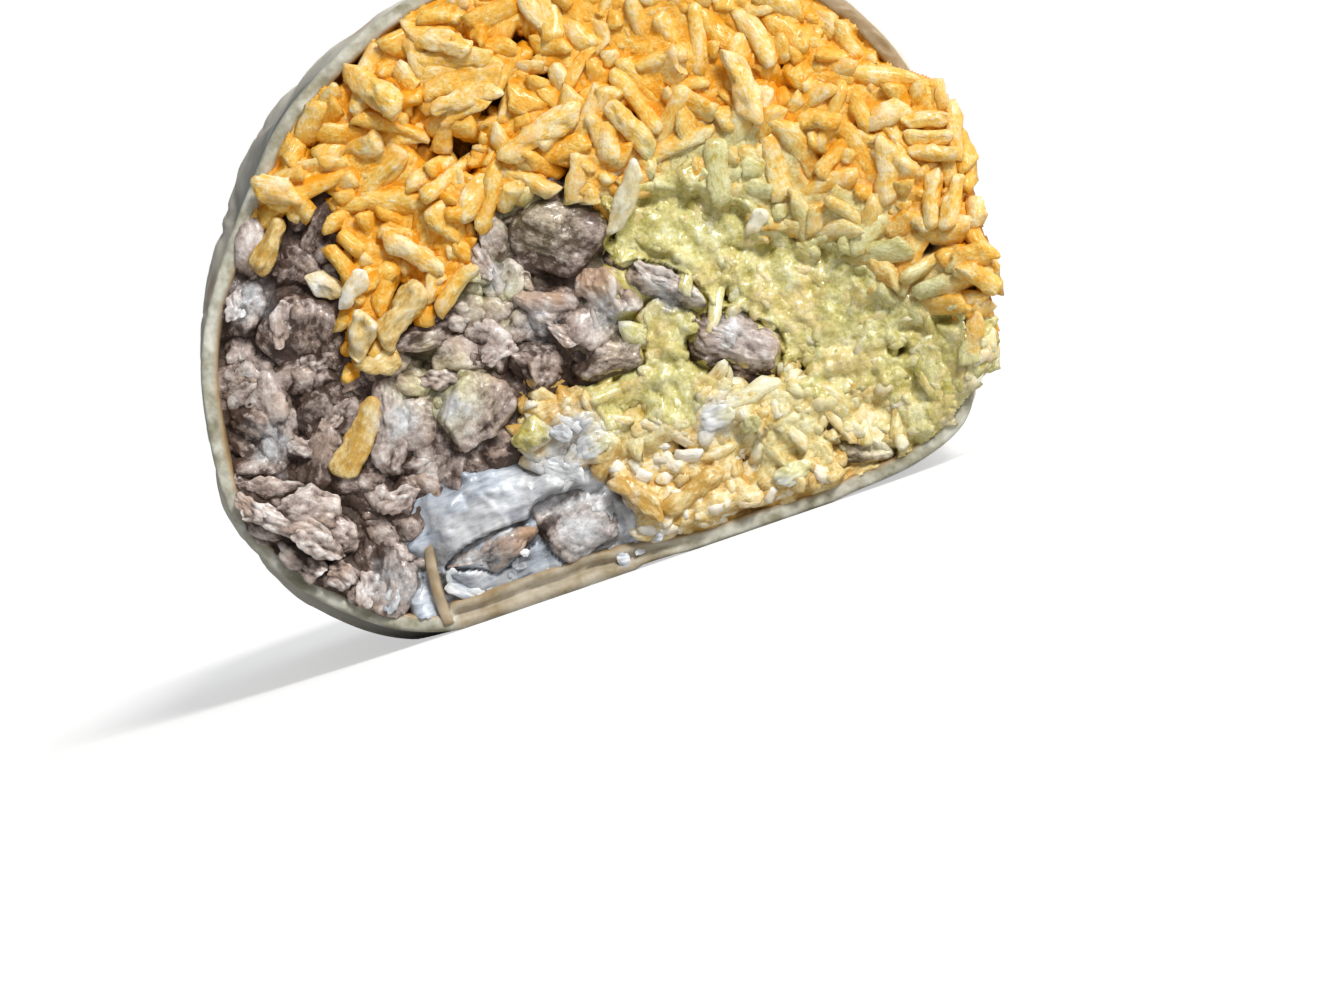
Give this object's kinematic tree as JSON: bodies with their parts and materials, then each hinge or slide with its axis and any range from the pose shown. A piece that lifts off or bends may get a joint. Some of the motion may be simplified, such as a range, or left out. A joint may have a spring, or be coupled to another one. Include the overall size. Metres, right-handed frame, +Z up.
{
  "type": "burrito half",
  "caption": "Half of a rolled burrito, cut across and lying on its side: a flour tortilla filled with orange rice, guacamole, cheesy rice, chopped steak and sour cream.",
  "frame": {"origin": "on the surface that the half lies on, under the middle of its bounding box", "axes": "+Z up, the cut face towards -Y, +Y along the roll to its folded end"},
  "size_m": [0.0896, 0.096, 0.0691],
  "materials": {
    "tortilla": "soft cooked flour tortilla, matt, with small browned blisters",
    "rice": "moist cooked rice, orange, each grain with a soft shine",
    "guacamole": "mashed avocado, yellow-green, moist",
    "cheesy_rice": "pale rice with melted and crumbled cheese, moist",
    "steak": "cooked chopped beef, grey brown, moist, with a visible grain",
    "sour_cream": "thick cream, cool white, glossy"
  },
  "bodies": {
    "root": {"tortilla": "tortilla", "rice": "rice", "guacamole": "guacamole", "cheesy_rice": "cheesy_rice", "sour_cream": "sour_cream", "steak_heap": "steak", "steak_over_rim": "steak", "steak_slab": "steak", "steak_round": "steak", "steak_large_left": "steak", "steak_bright": "steak", "steak_low_middle": "steak", "steak_in_guacamole": "steak", "steak_upright": "steak", "steak_creamed": "steak", "steak_on_cream": "steak", "steak_saucy": "steak", "steak_rim_upper": "steak", "steak_tip": "steak", "steak_smooth": "steak", "steak_middle": "steak", "steak_left_inner": "steak", "steak_glazed": "steak", "steak_left_outer": "steak", "steak_low_left": "steak", "steak_curl": "steak", "steak_knot": "steak", "steak_flap": "steak", "steak_flap_inner": "steak", "steak_strip": "steak", "steak_smeared": "steak", "steak_fleck": "steak"}
  },
  "joints": []
}
